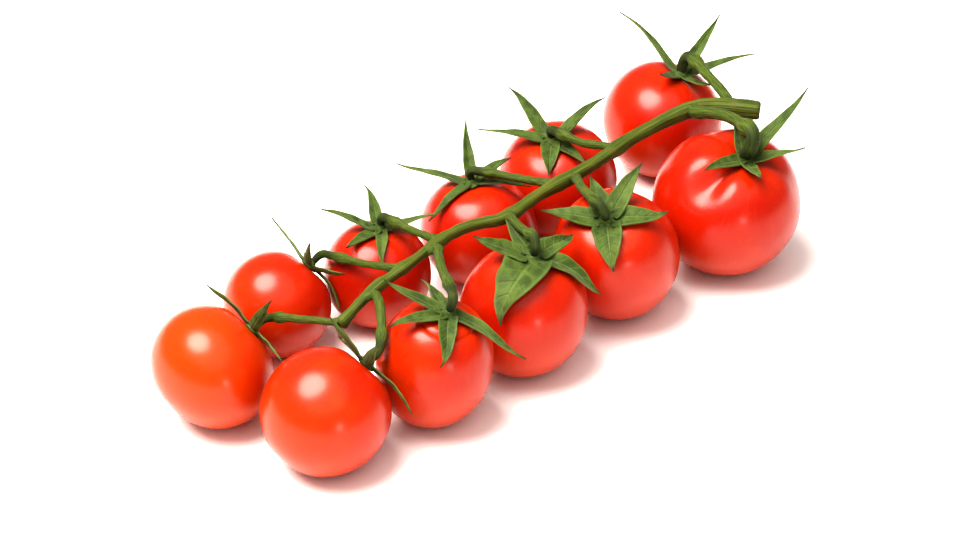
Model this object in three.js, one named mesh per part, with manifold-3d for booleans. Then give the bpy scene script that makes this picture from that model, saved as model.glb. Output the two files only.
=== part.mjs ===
// A cut truss of ripe cherry tomatoes lying on a table: two rows of fruit along one green main stem,
// each fruit with its own stalk and its own star-shaped calyx. Millimetres, +Z up. The truss runs along X,
// the cut end of the main stem is at +X, and the origin is under the middle of the truss on the table.

import * as THREE from "three";
import { mergeVertices } from "three/addons/utils/BufferGeometryUtils.js";
import Module from "manifold-3d";

const wasm = await Module();
wasm.setup();

// ---------------------------------------------------------------- driving dimensions

// Fruit by number: radius across, half length along its stalk axis, how far the axis leans from upright,
// the direction it leans towards (degrees from +X, seen from above), and how deep the stalk hollow is.
const FRUIT = {
  1: { radius: 14.3, halfLength: 12.9, lean: 60, heading: -10, hollow: 1.7, tint: 0xe8401c },
  2: { radius: 14.1, halfLength: 14.3, lean: 55, heading: -5, hollow: 1.8, tint: 0xe0311a },
  3: { radius: 12.4, halfLength: 12.2, lean: 54, heading: -4, hollow: 1.5, tint: 0xdd2c18 },
  4: { radius: 12.5, halfLength: 12.8, lean: 6, heading: 0, hollow: 1.6, tint: 0xda2416 },
  5: { radius: 12.9, halfLength: 16.0, lean: 14, heading: -70, hollow: 1.8, tint: 0xdc2816 },
  6: { radius: 13.8, halfLength: 13.6, lean: 8, heading: 120, hollow: 1.7, tint: 0xd82415 },
  7: { radius: 14.5, halfLength: 15.8, lean: 8, heading: -60, hollow: 1.9, tint: 0xdb2414 },
  8: { radius: 14.4, halfLength: 13.8, lean: 12, heading: -170, hollow: 1.7, tint: 0xd62213 },
  9: { radius: 14.7, halfLength: 17.2, lean: 28, heading: -155, hollow: 2.0, tint: 0xdb2513 },
  10: { radius: 14.9, halfLength: 14.6, lean: 17, heading: -35, hollow: 1.9, tint: 0xd82313 },
  11: { radius: 17.6, halfLength: 17.6, lean: 18, heading: -88, hollow: 3.3, tint: 0xda2412 },
};
const HOLLOW_HALF_ANGLE = 24; // degrees from the stalk axis over which the hollow fades out
const REST_FLAT_DEPTH = 0.25; // how far the skin is pressed flat where a fruit lies on the table

// The two rows are laid fruit by fruit: from one fruit to the next, in a direction, with a gap of skin to skin.
const ROW_LINKS = [
  { from: 2, to: 5, heading: -9, gap: 0.5 },
  { from: 5, to: 7, heading: 3, gap: 0.5 },
  { from: 7, to: 9, heading: 2, gap: 0.5 },
  { from: 9, to: 11, heading: -5, gap: 1.2 },
  { from: 2, to: 1, heading: 106, gap: 2.1 },
  { from: 1, to: 3, heading: 22, gap: 2.8 },
  { from: 3, to: 4, heading: -15, gap: 0.5 },
  { from: 4, to: 6, heading: -5.5, gap: 2.8 },
  { from: 6, to: 8, heading: 6, gap: 0.5 },
  { from: 8, to: 10, heading: 2, gap: 8.2 },
];

// The main stem passes between pairs of fruit: how far across from the first to the second, and how far
// above the mean height of their two tops.
const STEM_KNOTS = [
  { pair: [2, 4], across: 0.31, rise: -1.5 },
  { pair: [3, 5], across: 0.62, rise: -0.3 },
  { pair: [4, 5], across: 0.54, rise: 0.8 },
  { pair: [6, 5], across: 0.45, rise: 0.8 },
  { pair: [6, 7], across: 0.56, rise: 0.8 },
  { pair: [8, 7], across: 0.56, rise: 0.8 },
  { pair: [8, 9], across: 0.56, rise: 0.2 },
  { pair: [10, 9], across: 0.54, rise: 0.4 },
  { pair: [10, 11], across: 0.57, rise: 0.5 },
];
const CUT_END_LENGTH = 14; // the bare stem past the last pair of fruit, to the cut
const CUT_END_HEADING = -48;
const STEM_TIP_DIAMETER = 2.2;
const STEM_BASE_DIAMETER = 3.6;
const CUT_END_SWELLING = 0.4; // added to the stem's radius towards the cut
const CUT_END_SWELLING_LENGTH = 18;
const STEM_NODE_SWELLING = 0.35; // added to the stem's radius where a stalk leaves it
const STEM_NODE_LENGTH = 2.2;

// Each stalk leaves the main stem so many mm from its tip, arches over and comes down on its calyx.
const STALK = {
  1: { diameter: 1.7, leaves: 0, arch: 0.5, knee: 2.5, bow: 0 },
  2: { diameter: 2.0, leaves: 11.7, arch: 2.5, knee: 3.0, bow: -1 },
  3: { diameter: 1.8, leaves: 20.1, arch: -0.8, knee: 2.0, bow: 1 },
  4: { diameter: 1.8, leaves: 33.1, arch: -0.5, knee: 1.8, bow: 0.5 },
  5: { diameter: 2.1, leaves: 31.8, arch: 0.5, knee: 3.2, bow: 0.5 },
  6: { diameter: 1.9, leaves: 68.1, arch: -0.3, knee: 2.0, bow: 1 },
  7: { diameter: 2.0, leaves: 51.9, arch: 0.5, knee: 3.5, bow: 0.5 },
  8: { diameter: 1.9, leaves: 89.5, arch: -0.5, knee: 1.8, bow: -1 },
  9: { diameter: 2.2, leaves: 74.6, arch: 1.0, knee: 4.0, bow: 1.5 },
  10: { diameter: 2.5, leaves: 123.8, arch: 1.0, knee: 3.8, bow: 0 },
  11: { diameter: 2.7, leaves: 111.5, arch: 1.5, knee: 6.0, bow: -2 },
};
const KNUCKLE_SWELLING = 0.5; // added to a stalk's radius at its knuckle
const KNUCKLE_AT = 0.74; // share of the stalk's length from the main stem
const KNUCKLE_LENGTH = 3.6;

// Calyx: sepals as [turn about the stalk axis from +X, reach over the fruit in degrees, lift of the tip in mm].
const CALYX = {
  1: { width: 3.2, sepals: [[50, 34, 1.5], [120, 52, 2], [205, 28, 6], [275, 42, 1], [345, 42, 1.5]] },
  2: { width: 3.4, sepals: [[35, 34, 0.6], [80, 42, 2.6], [146, 40, 3.5], [215, 34, 5], [300, 52, 3]] },
  3: { width: 2.8, sepals: [[50, 40, 3.5], [105, 46, 6], [200, 32, 4], [258, 38, 4], [306, 57, 0.7]] },
  4: { width: 3.4, sepals: [[65, 44, 7], [140, 40, 7], [187, 45, 0.5], [235, 52, 0.5], [330, 42, 6]] },
  5: { width: 3.2, sepals: [[80, 40, 2.5], [120, 42, 7], [165, 46, 4], [225, 50, 0.5], [303, 62, 5]] },
  6: { width: 3.4, sepals: [[0, 44, 3], [48, 30, 11], [118, 48, 9], [182, 56, 0.5], [312, 52, 2]] },
  7: { width: 5.4, sepals: [[10, 48, 4], [72, 46, 3.5], [130, 38, 6], [205, 68, 0.5], [315, 66, 1]] },
  8: { width: 3.8, sepals: [[85, 38, 10], [132, 46, 9], [222, 44, 0.5], [268, 46, 1.5], [348, 42, 7]] },
  9: { width: 4.6, sepals: [[10, 40, 5.5], [62, 38, 1.5], [122, 42, 4], [230, 42, 0.5], [322, 44, 2]] },
  10: { width: 3.8, sepals: [[20, 32, 14], [105, 46, 12], [190, 34, 3], [265, 32, 3], [335, 40, 11]] },
  11: { width: 4.2, sepals: [[8, 36, 13], [62, 34, 0.5], [175, 38, 1], [240, 28, 3], [320, 31, 6]] },
};
const SEPAL_THICKNESS = 0.7;
const SEPAL_TIP_WIDTH = 0.5;
const HUB_DIAMETER = 4.6;
const HUB_THICKNESS = 1.0;

const BUD_LENGTH = 2.4; // the withered last bud at the tip of the main stem
const BUD_DIAMETER = 1.6;

const CLEARANCE = 0.3; // between pieces that touch in life
const SKIN_CLEARANCE = 0.6; // under the calyx, measured square to the skin

// Facets
const FRUIT_SIDES = 20;
const FRUIT_BANDS = 12;
const STEM_SIDES = 10;
const STEM_STEPS = 32;
const STALK_SIDES = 8;
const STALK_STEPS = 10;
const SEPAL_STEPS = 5;

const GREEN = new THREE.Color(0x6f9440);
const DARK_GREEN = new THREE.Color(0x557a35);
const PALE_BUD = new THREE.Color(0xd8cf9a);

// ---------------------------------------------------------------- geometry helpers

const X_AXIS = new THREE.Vector3(1, 0, 0);
const UP = new THREE.Vector3(0, 0, 1);

function rad(degrees) {
  return THREE.MathUtils.degToRad(degrees);
}

function flatDirection(headingDegrees) {
  return X_AXIS.clone().applyAxisAngle(UP, rad(headingDegrees));
}

/** A closed geometry as a manifold solid. */
function toSolid(geometry) {
  const bare = geometry.clone();
  bare.deleteAttribute("normal");
  bare.deleteAttribute("uv");
  const merged = mergeVertices(bare, 1e-4);
  return new wasm.Manifold(new wasm.Mesh({
    numProp: 3,
    vertProperties: new Float32Array(merged.attributes.position.array),
    triVerts: new Uint32Array(merged.index.array),
  }));
}

/** A manifold solid as a closed geometry. */
function toGeometry(solid) {
  const { vertProperties, triVerts } = solid.getMesh();
  const geometry = new THREE.BufferGeometry();
  geometry.setAttribute("position", new THREE.BufferAttribute(new Float32Array(vertProperties), 3));
  geometry.setIndex(new THREE.BufferAttribute(new Uint32Array(triVerts), 1));
  geometry.computeVertexNormals();
  return geometry;
}

/** Moves every vertex of a geometry by a function that changes the vector it is given. */
function reshape(geometry, change) {
  const position = geometry.attributes.position;
  const vertex = new THREE.Vector3();
  for (let i = 0; i < position.count; i += 1) {
    vertex.fromBufferAttribute(position, i);
    change(vertex);
    position.setXYZ(i, vertex.x, vertex.y, vertex.z);
  }
  return geometry;
}

/** A rod with closed ends along a curve, whose radius changes with the share of its length. */
function rodAlong(curve, radiusAt, sides, steps) {
  const frames = curve.computeFrenetFrames(steps, false);
  const rod = new THREE.CylinderGeometry(1, 1, 1, sides, steps);
  return reshape(rod, (v) => {
    const share = v.y + 0.5;
    const step = Math.round(share * steps);
    const radius = radiusAt(share);
    const side = frames.normals[step];
    const other = new THREE.Vector3().crossVectors(side, frames.tangents[step]);
    const centre = curve.getPointAt(share);
    centre.addScaledVector(side, v.x * radius).addScaledVector(other, v.z * radius);
    v.copy(centre);
  });
}

function bump(share, centre, halfWidth) {
  return Math.exp(-(((share - centre) / halfWidth) ** 2));
}

// ---------------------------------------------------------------- fruit, in its own frame: stalk axis along +Z

/** Distance of the skin from the fruit's centre, at an angle from the stalk axis. */
function skinRadius(fruit, angle) {
  const { radius: a, halfLength: c, hollow } = fruit;
  const oval = (a * c) / Math.hypot(c * Math.sin(angle), a * Math.cos(angle));
  return oval - hollow * bump(angle, 0, rad(HOLLOW_HALF_ANGLE));
}

function fruitGeometry(fruit) {
  const ball = new THREE.SphereGeometry(1, FRUIT_SIDES, FRUIT_BANDS).rotateX(Math.PI / 2);
  return reshape(ball, (v) => v.multiplyScalar(skinRadius(fruit, v.angleTo(UP))));
}

/** Turns a fruit's own frame to its lean, keeping +X of the frame as near the truss's +X as it can be. */
function tilt(fruit) {
  const axis = flatDirection(fruit.heading + 90);
  return new THREE.Quaternion().setFromAxisAngle(axis, rad(fruit.lean));
}

/** A point over the skin, in the fruit's own frame: angle from the stalk axis, turn about it, height. */
function overSkin(fruit, angle, turn, height) {
  const distance = skinRadius(fruit, angle) + height;
  const point = new THREE.Vector3(Math.sin(angle), 0, Math.cos(angle)).multiplyScalar(distance);
  return point.applyAxisAngle(UP, turn);
}

// ---------------------------------------------------------------- laying the fruit on the table

/** How far a fruit reaches from its centre in a level direction, without its hollow. */
function levelReach(fruit, direction) {
  const axis = UP.clone().applyQuaternion(tilt(fruit));
  const lean = axis.angleTo(direction);
  const { radius: a, halfLength: c } = fruit;
  return (a * c) / Math.hypot(c * Math.sin(lean), a * Math.cos(lean));
}

/** Height of a fruit's centre over the table, with its lowest facet pressed flat. */
function restHeight(fruit) {
  const turned = fruitGeometry(fruit).applyQuaternion(tilt(fruit));
  turned.computeBoundingBox();
  return -turned.boundingBox.min.z - REST_FLAT_DEPTH;
}

const centres = { 2: new THREE.Vector3(0, 0, restHeight(FRUIT[2])) };
for (const { from, to, heading, gap } of ROW_LINKS) {
  const direction = flatDirection(heading);
  const distance = levelReach(FRUIT[from], direction) + gap + levelReach(FRUIT[to], direction);
  centres[to] = centres[from].clone().addScaledVector(direction, distance).setZ(restHeight(FRUIT[to]));
}

function topOf(number) {
  const { radius, halfLength, lean } = FRUIT[number];
  return centres[number].z + Math.hypot(halfLength * Math.cos(rad(lean)), radius * Math.sin(rad(lean)));
}

// ---------------------------------------------------------------- main stem

const stemPoints = STEM_KNOTS.map(({ pair: [one, other], across, rise }) => {
  const point = centres[one].clone().lerp(centres[other], across);
  return point.setZ((topOf(one) + topOf(other)) / 2 + rise);
});
stemPoints.push(stemPoints.at(-1).clone().addScaledVector(flatDirection(CUT_END_HEADING), CUT_END_LENGTH));
const stemCurve = new THREE.CatmullRomCurve3(stemPoints, false, "centripetal");
const stemLength = stemCurve.getLength();

function stemRadius(share) {
  const plain = THREE.MathUtils.lerp(STEM_TIP_DIAMETER, STEM_BASE_DIAMETER, share) / 2;
  const nodes = Object.values(STALK).map(({ leaves }) => bump(share * stemLength, leaves, STEM_NODE_LENGTH));
  const cutEnd = CUT_END_SWELLING * bump(share, 1, CUT_END_SWELLING_LENGTH / stemLength);
  return plain + STEM_NODE_SWELLING * Math.max(...nodes) + cutEnd;
}

/** The main stem grown by the clearance all round and past its tip, to cut the stalks that meet it. */
function stemCutter() {
  const grown = rodAlong(stemCurve, (share) => stemRadius(share) + CLEARANCE, STEM_SIDES, STEM_STEPS);
  const tip = stemCurve.getPointAt(0);
  const beyond = tip.clone().addScaledVector(stemCurve.getTangentAt(0), -CLEARANCE);
  const cap = rodAlong(new THREE.LineCurve3(beyond, tip), () => stemRadius(0) + CLEARANCE, STEM_SIDES, 1);
  return toSolid(grown).add(toSolid(cap));
}

// ---------------------------------------------------------------- stalks

/** Where a stalk ends: over the middle of its calyx, with the direction straight out of the fruit. */
function stalkFoot(number) {
  const fruit = FRUIT[number];
  const outward = UP.clone().applyQuaternion(tilt(fruit));
  const height = skinRadius(fruit, 0) + SKIN_CLEARANCE + HUB_THICKNESS + CLEARANCE;
  return { foot: centres[number].clone().addScaledVector(outward, height), outward };
}

function stalkCurve(number) {
  const { leaves, arch, knee, bow } = STALK[number];
  const start = stemCurve.getPointAt(leaves / stemLength);
  const { foot, outward } = stalkFoot(number);
  const bend = foot.clone().addScaledVector(outward, knee);
  const across = new THREE.Vector3().subVectors(bend, start).cross(UP).normalize();
  const middle = start.clone().lerp(bend, 0.5).addScaledVector(UP, arch).addScaledVector(across, bow);
  return new THREE.CatmullRomCurve3([start, middle, bend, foot], false, "centripetal");
}

function stalkRadius(number, curve) {
  const halfWidth = KNUCKLE_LENGTH / 2 / curve.getLength();
  return (share) => STALK[number].diameter / 2 + KNUCKLE_SWELLING * bump(share, KNUCKLE_AT, halfWidth);
}

function stalkGeometry(number, cutter) {
  const curve = stalkCurve(number);
  const rod = toSolid(rodAlong(curve, stalkRadius(number, curve), STALK_SIDES, STALK_STEPS));
  return toGeometry(rod.subtract(cutter));
}

// ---------------------------------------------------------------- calyx, in its fruit's own frame

function hubSolid(fruit) {
  const disc = new THREE.CylinderGeometry(1, 1, 1, STEM_SIDES, 1).rotateX(Math.PI / 2);
  const edgeAngle = HUB_DIAMETER / 2 / skinRadius(fruit, 0);
  return toSolid(reshape(disc, (v) => {
    const angle = Math.hypot(v.x, v.y) * edgeAngle;
    const height = SKIN_CLEARANCE + (v.z + 0.5) * HUB_THICKNESS;
    v.copy(overSkin(fruit, angle, Math.atan2(v.y, v.x), height));
  }));
}

/** Leaf outline: the width of a sepal at a share of its length from the hub. */
function sepalWidth(width, share) {
  return Math.max(SEPAL_TIP_WIDTH, width * (1 - share ** 1.6) * (0.65 + 0.8 * share));
}

function sepalSolid(fruit, width, [turn, reach, lift]) {
  const rootAngle = HUB_DIAMETER / 4 / skinRadius(fruit, 0);
  const height = SKIN_CLEARANCE + SEPAL_THICKNESS / 2;
  const points = [];
  for (let i = 0; i <= SEPAL_STEPS; i += 1) {
    const share = i / SEPAL_STEPS;
    const angle = THREE.MathUtils.lerp(rootAngle, rad(reach), share);
    points.push(overSkin(fruit, angle, rad(turn), height + lift * share ** 2));
  }
  const spine = new THREE.CatmullRomCurve3(points, false, "centripetal");
  const side = flatDirection(turn - 90);
  const blade = new THREE.CylinderGeometry(1, 1, 1, 4, SEPAL_STEPS);
  return toSolid(reshape(blade, (v) => {
    const share = v.y + 0.5;
    const normal = new THREE.Vector3().crossVectors(side, spine.getTangentAt(share));
    const halfWidth = sepalWidth(width, share) / 2;
    const point = spine.getPointAt(share);
    point.addScaledVector(side, v.x * halfWidth).addScaledVector(normal, v.z * SEPAL_THICKNESS / 2);
    v.copy(point);
  }));
}

function calyxGeometry(number) {
  const { width, sepals } = CALYX[number];
  let solid = hubSolid(FRUIT[number]);
  for (const sepal of sepals) {
    solid = solid.add(sepalSolid(FRUIT[number], width, sepal));
  }
  return toGeometry(solid);
}

// ---------------------------------------------------------------- assembly

function label(name, number) {
  return `${name}_${String(number).padStart(2, "0")}`;
}

function piece(name, geometry, color, roughness) {
  const mesh = new THREE.Mesh(geometry, new THREE.MeshStandardMaterial({ color, roughness, metalness: 0 }));
  mesh.name = name;
  return mesh;
}

/** A fruit with its skin pressed flat where it meets the table, in its own frame. */
function restingFruit(number, place) {
  const size = 4 * FRUIT[number].radius;
  const table = new THREE.BoxGeometry(size, size, size).translate(0, 0, -size / 2 - place.position.z);
  table.applyQuaternion(place.quaternion.clone().invert());
  return toGeometry(toSolid(fruitGeometry(FRUIT[number])).subtract(toSolid(table)));
}

const truss = new THREE.Group();
const cutter = stemCutter();
truss.add(piece("main_stem", rodAlong(stemCurve, stemRadius, STEM_SIDES, STEM_STEPS), GREEN, 0.6));

for (const number of Object.keys(FRUIT)) {
  const place = new THREE.Group();
  place.position.copy(centres[number]);
  place.quaternion.copy(tilt(FRUIT[number]));
  place.add(piece(label("tomato", number), restingFruit(number, place), FRUIT[number].tint, 0.25));
  place.add(piece(label("calyx", number), calyxGeometry(number), DARK_GREEN, 0.7));
  truss.add(place, piece(label("fruit_stalk", number), stalkGeometry(number, cutter), GREEN, 0.6));
}

/** The last bud hangs under the tip of the main stem. */
function endBud() {
  const bud = new THREE.SphereGeometry(0.5, STALK_SIDES, 6).rotateX(Math.PI / 2);
  bud.scale(BUD_DIAMETER, BUD_DIAMETER, BUD_LENGTH);
  const drop = stemRadius(0) + CLEARANCE + BUD_LENGTH / 2;
  const { x, y, z } = stemCurve.getPointAt(0);
  return bud.translate(x, y, z - drop);
}
truss.add(piece("end_bud", endBud(), PALE_BUD, 0.7));

// The origin goes under the middle of the truss, on the table.
const bounds = new THREE.Box3().setFromObject(truss, true);
const middle = bounds.getCenter(new THREE.Vector3());
truss.position.set(-middle.x, -middle.y, 0);

export default truss;
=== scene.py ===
# %% [markdown]
# # A truss of cherry tomatoes
#
# Eleven ripe cherry tomatoes still hang on the vine that grew them. The engineering model already says
# where every fruit, stalk and leaf is, in metres, so this lesson never guesses a place: it opens that
# model, measures it, and grows a natural looking piece over each plain one. Measuring keeps the two
# models in step, which is better than typing the same places twice.

# %% Open the engineering model
import math
import random

import bmesh
import bpy
from mathutils import Matrix, Vector


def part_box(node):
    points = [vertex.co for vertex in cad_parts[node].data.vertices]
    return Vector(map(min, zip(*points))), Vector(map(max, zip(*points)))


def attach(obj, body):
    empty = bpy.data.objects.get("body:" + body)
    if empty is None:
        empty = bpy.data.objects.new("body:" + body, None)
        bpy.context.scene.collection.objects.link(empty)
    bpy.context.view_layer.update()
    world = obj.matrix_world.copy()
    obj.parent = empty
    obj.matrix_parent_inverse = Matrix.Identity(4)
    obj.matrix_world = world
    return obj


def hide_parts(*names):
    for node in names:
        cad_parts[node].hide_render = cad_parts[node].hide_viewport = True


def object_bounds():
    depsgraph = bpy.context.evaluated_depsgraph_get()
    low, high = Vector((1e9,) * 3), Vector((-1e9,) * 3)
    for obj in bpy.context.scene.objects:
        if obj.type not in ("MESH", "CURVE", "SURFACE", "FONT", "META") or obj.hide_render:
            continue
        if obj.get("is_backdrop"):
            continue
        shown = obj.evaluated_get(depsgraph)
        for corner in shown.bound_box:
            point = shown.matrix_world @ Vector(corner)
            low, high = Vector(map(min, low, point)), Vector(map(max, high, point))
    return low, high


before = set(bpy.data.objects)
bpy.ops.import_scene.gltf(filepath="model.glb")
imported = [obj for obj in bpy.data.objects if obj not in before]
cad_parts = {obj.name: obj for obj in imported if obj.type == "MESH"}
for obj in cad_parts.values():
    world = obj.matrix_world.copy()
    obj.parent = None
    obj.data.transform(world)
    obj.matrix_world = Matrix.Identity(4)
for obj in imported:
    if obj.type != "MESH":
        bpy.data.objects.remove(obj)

MM = 0.001
UP = Vector((0, 0, 1))
SAME_PLACE = 0.001 * MM  # corners closer than this are one corner
cad_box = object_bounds()
print("engineering model, in mm:", [round(side / MM, 1) for side in cad_box[1] - cad_box[0]])

# %% [markdown]
# The first thing to measure is a rod. A stalk in the engineering model is a run of rings of corners.
# Starting from the ring at one end, all corners one edge further along are the next ring, and so on. The
# middle and the size of each ring are all that is needed to grow a finer stalk along the same line.


# %% Walk along a rod, ring by ring
def rings_of(node, end, reach):
    """Middle, radius and corner count of each ring of a rod, from the corners nearest to an end."""
    mesh = bmesh.new()
    mesh.from_mesh(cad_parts[node].data)
    bmesh.ops.remove_doubles(mesh, verts=mesh.verts, dist=SAME_PLACE)
    nearest = min((corner.co - end).length for corner in mesh.verts)
    ring = {corner for corner in mesh.verts if (corner.co - end).length < nearest + reach}
    seen = set(ring)
    rings = []
    while ring:
        middle = sum((corner.co for corner in ring), Vector()) / len(ring)
        radius = sum((corner.co - middle).length for corner in ring) / len(ring)
        rings.append((middle, radius, len(ring)))
        ring = {edge.other_vert(corner) for corner in ring for edge in corner.link_edges} - seen
        seen |= ring
    mesh.free()
    return rings


def centre_of_volume(node):
    """Centre of volume of a closed piece, from the wedges its triangles make with the origin."""
    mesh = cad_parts[node].data
    volume, moment = 0.0, Vector()
    for face in mesh.polygons:
        a, b, c = (mesh.vertices[i].co for i in face.vertices)
        wedge = a.dot(b.cross(c))
        volume += wedge
        moment += wedge * (a + b + c) / 4
    return moment / volume


# %% [markdown]
# A fruit is an oval with a hollow where its stalk comes in. The line from the middle of the fruit to the
# foot of its stalk is the way it leans. The widest corners tell its radius and where its true middle is,
# the lower corners tell how long it is, and the corner on the line tells how deep the hollow is.

# %% Measure each fruit
HOLLOW_ANGLE = math.radians(24)  # the hollow has faded out at about twice this angle from the stalk
FRUIT_COUNT = 11
FOOT_REACH = 0.45 * MM  # the ring at a stalk's foot lies this close to its nearest corner
BELT_WIDTH = 0.985  # corners at least this share of the radius away from the line are the belt
SIDE_WIDTHS = (0.5, 0.92)  # between these shares they are the side, and tell the length
TOP_WIDTH = 0.05  # and within this one they are the bottom of the hollow


def measure_fruit(number):
    """Size, place and lean of a fruit, with the rings of its stalk, foot first."""
    inside = centre_of_volume(f"tomato_{number:02d}")
    stalk = rings_of(f"fruit_stalk_{number:02d}", inside, FOOT_REACH)
    out = (stalk[0][0] - inside).normalized()
    corners = [corner.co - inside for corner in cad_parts[f"tomato_{number:02d}"].data.vertices]
    heights = [corner.dot(out) for corner in corners]
    widths = [(corner - height * out).length for corner, height in zip(corners, heights)]
    radius = max(widths)
    belt = [height for height, width in zip(heights, widths) if width > BELT_WIDTH * radius]
    middle = inside + out * sum(belt) / len(belt)
    level = (middle - inside).dot(out)
    ovals = sorted(
        (level - height) / math.sqrt(1 - (width / radius) ** 2)
        for height, width in zip(heights, widths)
        if height < level and SIDE_WIDTHS[0] < width / radius < SIDE_WIDTHS[1]
    )
    half = ovals[len(ovals) // 2]
    top = max(height for height, width in zip(heights, widths) if width < TOP_WIDTH * radius)
    place = Matrix.Translation(middle) @ UP.rotation_difference(out).to_matrix().to_4x4()
    return {"radius": radius, "half": half, "hollow": half - (top - level), "place": place, "stalk": stalk}


fruits = {number: measure_fruit(number) for number in range(1, FRUIT_COUNT + 1)}
for number, fruit in fruits.items():
    sizes = [round(fruit[key] / MM, 2) for key in ("radius", "half", "hollow")]
    print(f"fruit {number}: radius, half length, hollow {sizes} mm, stalk of {len(fruit['stalk'])} rings")


# %% [markdown]
# Everything that grows on a fruit follows its skin, so the skin needs one rule: how far it is from the
# middle at an angle from the stalk. Each star of sepals is then read in the fruit's own upright
# position. The five corners furthest out, taken one at a time so that no two share a sepal, are the five
# tips.


# %% Measure each star of sepals
def skin_distance(fruit, angle):
    """Distance of the skin from the fruit's middle, at an angle from its stalk."""
    radius, half = fruit["radius"], fruit["half"]
    oval = radius * half / math.hypot(half * math.sin(angle), radius * math.cos(angle))
    return oval - fruit["hollow"] * math.exp(-((angle / HOLLOW_ANGLE) ** 2))


SEPALS_IN_A_STAR = 5
HALF_SECTOR = math.radians(21)
SEPAL_REST = 0.95 * MM  # how high the middle of an engineering sepal lies over the skin
WIDEST_SHARE = 0.748  # of a sepal's nominal width, where it is measured
BLADE_PART = (0.35, 0.7)  # shares of its length between which it is measured
TIP_SIZE = 0.9 * MM  # corners this close to the one furthest out belong to the tip


def measure_star(number):
    """Turn, reach, lift of the tip and width of each sepal of a star."""
    fruit = fruits[number]
    upright = fruit["place"].inverted()
    corners = [upright @ corner.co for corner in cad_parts[f"calyx_{number:02d}"].data.vertices]
    corners = [(corner, math.atan2(corner.y, corner.x)) for corner in corners]
    corners.sort(key=lambda pair: -(pair[0] - Vector((0, 0, skin_distance(fruit, 0)))).length)
    tips = []
    for corner, turn in corners:
        if all(abs(math.remainder(turn - other[0], math.tau)) > HALF_SECTOR for other in tips):
            end = [c for c, _ in corners if (c - corner).length < TIP_SIZE]
            middle = sum(end, Vector()) / len(end)
            tips.append((math.atan2(middle.y, middle.x), middle))
        if len(tips) == SEPALS_IN_A_STAR:
            break
    star = []
    for turn, tip in tips:
        reach = tip.angle(UP)
        side = Vector((-math.sin(turn), math.cos(turn), 0))
        blade = [
            abs(corner.dot(side))
            for corner, other in corners
            if abs(math.remainder(other - turn, math.tau)) < HALF_SECTOR
            and BLADE_PART[0] < corner.angle(UP) / reach < BLADE_PART[1]
        ]
        lift = tip.length - skin_distance(fruit, reach) - SEPAL_REST
        star.append({"turn": turn, "reach": reach, "lift": lift, "width": 2 * max(blade) / WIDEST_SHARE})
    return sorted(star, key=lambda sepal: sepal["turn"])


stars = {number: measure_star(number) for number in fruits}
for number, star in stars.items():
    turns = [round(math.degrees(sepal["turn"])) for sepal in star]
    widths = [round(sepal["width"] / MM, 1) for sepal in star]
    print(f"star {number}: sepals turned {turns} degrees, {widths} mm wide")

# %% [markdown]
# A few habits of the hand. Every operator works on what is selected, so each piece starts by clearing
# the selection, and inside a piece the corners to move are picked by where they are. When a piece is
# finished it is smooth shaded, its corners are in place and its object sits unturned at the origin, as
# the engineering pieces do.


# %% Working by hand
def start_clean():
    """Leaves edit mode and selects nothing."""
    if bpy.context.object and bpy.context.object.mode != "OBJECT":
        bpy.ops.object.mode_set(mode="OBJECT")
    bpy.ops.object.select_all(action="DESELECT")


def take(*pieces):
    """Selects these pieces alone; the last one is the active one."""
    start_clean()
    for piece in pieces:
        piece.select_set(True)
    bpy.context.view_layer.objects.active = pieces[-1]


def pick(piece, wanted):
    """In edit mode, selects the corners whose place is wanted, with the edges and faces between them."""
    mesh = bmesh.from_edit_mesh(piece.data)
    for element in (*mesh.verts, *mesh.edges, *mesh.faces):
        element.select = False
    for corner in mesh.verts:
        corner.select = wanted(corner.co)
    mesh.select_flush(True)
    bmesh.update_edit_mesh(piece.data)


def scale_about(point, x=1.0, y=1.0, z=1.0):
    """In edit mode, scales what is picked about a point."""
    bpy.ops.transform.resize(value=(x, y, z), center_override=point)


def copy_of(piece, name):
    """A copy with a mesh of its own."""
    take(piece)
    bpy.ops.object.duplicate(linked=False)
    copy = bpy.context.object
    copy.name = copy.data.name = name
    return copy


def apply_modifier(piece, kind, **settings):
    """Adds a modifier, sets it and applies it."""
    take(piece)
    modifier = piece.modifiers.new(kind.title(), kind)
    for key, value in settings.items():
        setattr(modifier, key, value)
    bpy.ops.object.modifier_apply(modifier=modifier.name)


def settle(piece, place):
    """Moves a piece that was made at the origin to its place, in its mesh."""
    take(piece)
    piece.matrix_world = place
    bpy.ops.object.transform_apply(location=True, rotation=True, scale=True)


def hand_in(piece, slot, *nodes):
    """The piece rides with the truss and stands for the plain pieces, which are hidden. The slot is not
    used.
    """
    take(piece)
    bpy.ops.object.shade_smooth_by_angle(angle=math.radians(50))
    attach(piece, "root")
    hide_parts(*nodes)


def clouds(name, size):
    """A soft lump pattern for a Displace modifier."""
    texture = bpy.data.textures.new(name, "CLOUDS")
    texture.noise_scale = size
    texture.noise_depth = 1
    return texture


def make_uneven(piece, lumps, height):
    """Moves the skin of a piece in and out by a lump pattern."""
    apply_modifier(piece, "DISPLACE", texture=lumps, texture_coords="LOCAL", strength=height, mid_level=0.5)


# %% [markdown]
# One tomato is modelled and then copied for all eleven. A ball with its poles up and down is the right
# start, because a tomato is built round the line from its stalk to its blossom end. The blossom end gets
# a shallow dimple with the dry tip of the flower left in it. Pulling whole rings towards the middle
# keeps the surface even, where proportional editing would depend on a window.

# %% Model one fruit
FRUIT_SIDES = 72
FRUIT_RINGS = 48
RING_STEP = math.pi / FRUIT_RINGS
DIMPLE = (0.992, 0.984, 0.988, 0.994, 0.998)  # share left of each ring's distance, from the blossom end up
BALL_SLACK = 0.0005  # a ring's corners are this level, on a ball with a radius of one

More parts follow.
